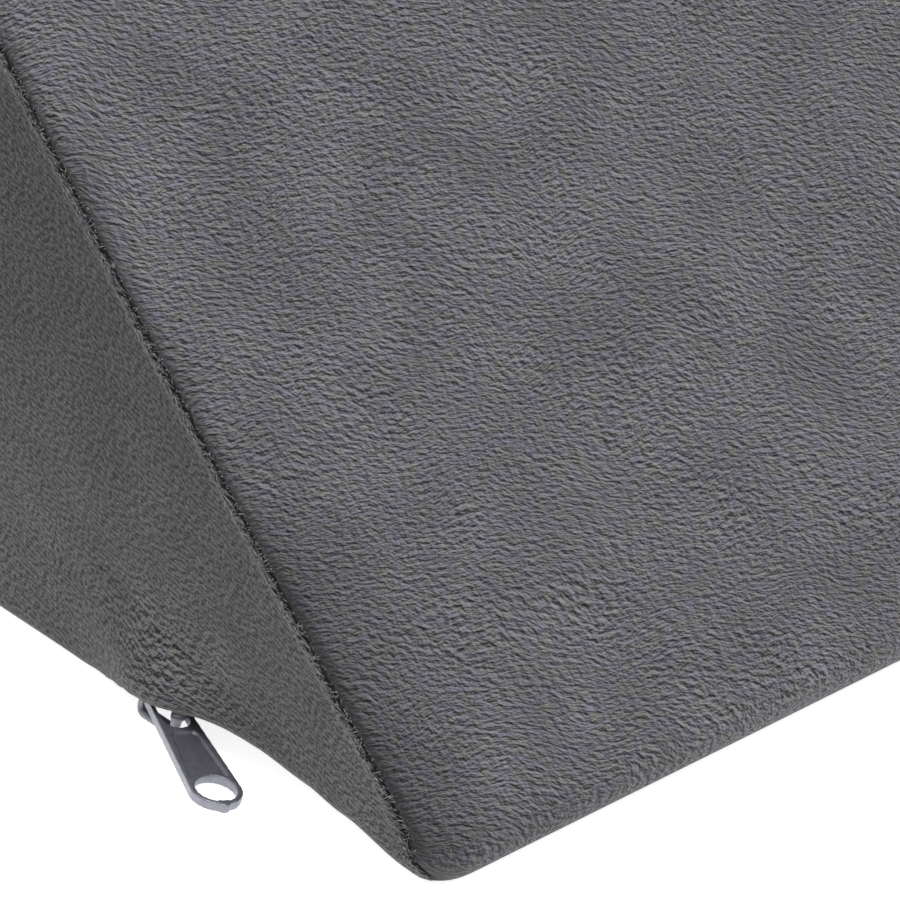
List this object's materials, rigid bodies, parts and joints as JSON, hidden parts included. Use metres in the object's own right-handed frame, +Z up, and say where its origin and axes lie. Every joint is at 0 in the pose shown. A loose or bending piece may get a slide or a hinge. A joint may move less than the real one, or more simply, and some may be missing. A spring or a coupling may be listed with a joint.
{
  "type": "leg pillow",
  "caption": "Wedge-shaped leg pillow in a soft velour cover: steep front ramp, flat top, upright back, and a zip with a cast pull under one lower side edge.",
  "frame": {"origin": "middle of the flat underside", "axes": "+Z up; the toe of the ramp faces -Y and the upright back faces +Y; width along X, with the zip under the -X side's lower edge"},
  "size_m": [0.4651, 0.5948, 0.2],
  "materials": {
    "cover": "short-pile grey velour, brushed in soft streaks",
    "zip_tape": "woven grey zip tape with a coil chain",
    "zip_metal": "smooth blue-grey enamel on cast metal"
  },
  "bodies": {
    "root": {"pillow": "cover", "zip_chain": "zip_tape", "zip_slider": "zip_metal", "zip_pull": "zip_metal"}
  },
  "joints": []
}
